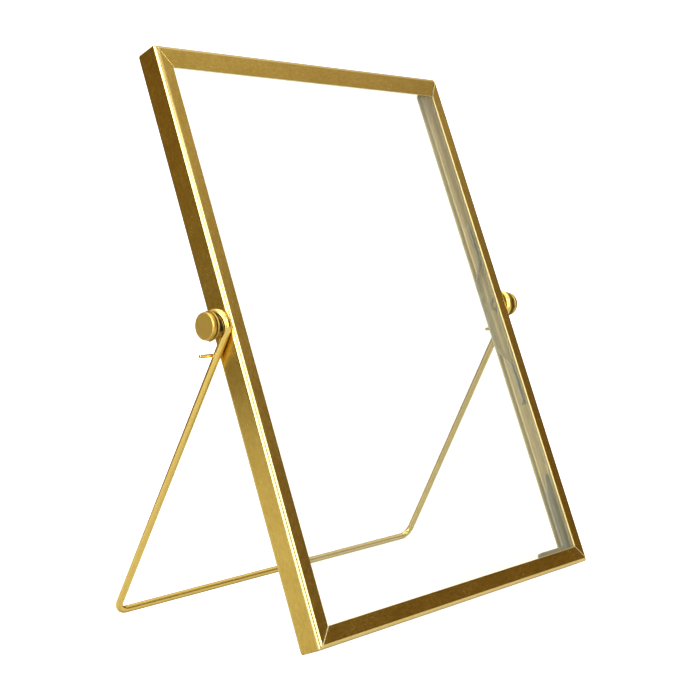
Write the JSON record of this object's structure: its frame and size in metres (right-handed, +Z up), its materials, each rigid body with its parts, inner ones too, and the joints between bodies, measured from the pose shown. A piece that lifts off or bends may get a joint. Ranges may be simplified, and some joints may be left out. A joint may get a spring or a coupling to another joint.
{
  "type": "floating picture frame",
  "caption": "Tabletop floating picture frame with glass panes in a mitred metal channel rim, leaning on a looped wire stand that folds flat between side knobs.",
  "frame": {"origin": "on the surface that the frame stands on, centred under the whole object with its stand open", "axes": "+Z up, +X to the viewer's right across the frame, -Y towards the viewer, +Y back towards the stand's foot"},
  "size_m": [0.193, 0.1122, 0.2289],
  "materials": {
    "rail": "satin antique gold, finely brushed along the rail",
    "knob": "satin antique gold, turned face with a brighter rim",
    "wire": "light satin gold",
    "glass": "clear float glass",
    "steel": "dull zinc grey"
  },
  "bodies": {
    "frame": {"rail_left": "rail", "rail_right": "rail", "rail_bottom": "rail", "glass_front": "glass", "glass_rear": "glass", "corner_plate_bottom_left": "steel", "corner_plate_bottom_right": "steel", "leaf_spring_left": "steel", "leaf_spring_right": "steel", "pivot_sleeve_left": "steel", "pivot_sleeve_right": "steel", "pivot_nut_left": "steel", "pivot_nut_right": "steel", "stop_pin_left": "wire", "stop_pin_right": "wire"},
    "top_rail": {"rail_top": "rail", "corner_bracket_top_left": "steel", "corner_bracket_top_right": "steel"},
    "stand": {"stand_wire": "wire"},
    "knob_left": {"pivot_screw_left": "knob", "knob_washer_left": "knob"},
    "knob_right": {"pivot_screw_right": "knob", "knob_washer_right": "knob"}
  },
  "joints": [
    {"name": "stand_fold", "type": "hinge", "parent": "frame", "child": "stand", "pos_m": [0, -0.00932, 0.11938], "axis": [1, 0, 0], "range_deg": [-50.4, 0]},
    {"name": "top_rail_pull", "type": "slide", "parent": "frame", "child": "top_rail", "axis": [0, 0.3387, 0.9409], "range_m": [0, 0.03]},
    {"name": "knob_left_turn", "type": "hinge", "parent": "frame", "child": "knob_left", "pos_m": [-0.0915, -0.00932, 0.11938], "axis": [-1, 0, 0], "range_deg": [0, 180]},
    {"name": "knob_right_turn", "type": "hinge", "parent": "frame", "child": "knob_right", "pos_m": [0.0915, -0.00932, 0.11938], "axis": [1, 0, 0], "range_deg": [0, 180]}
  ]
}
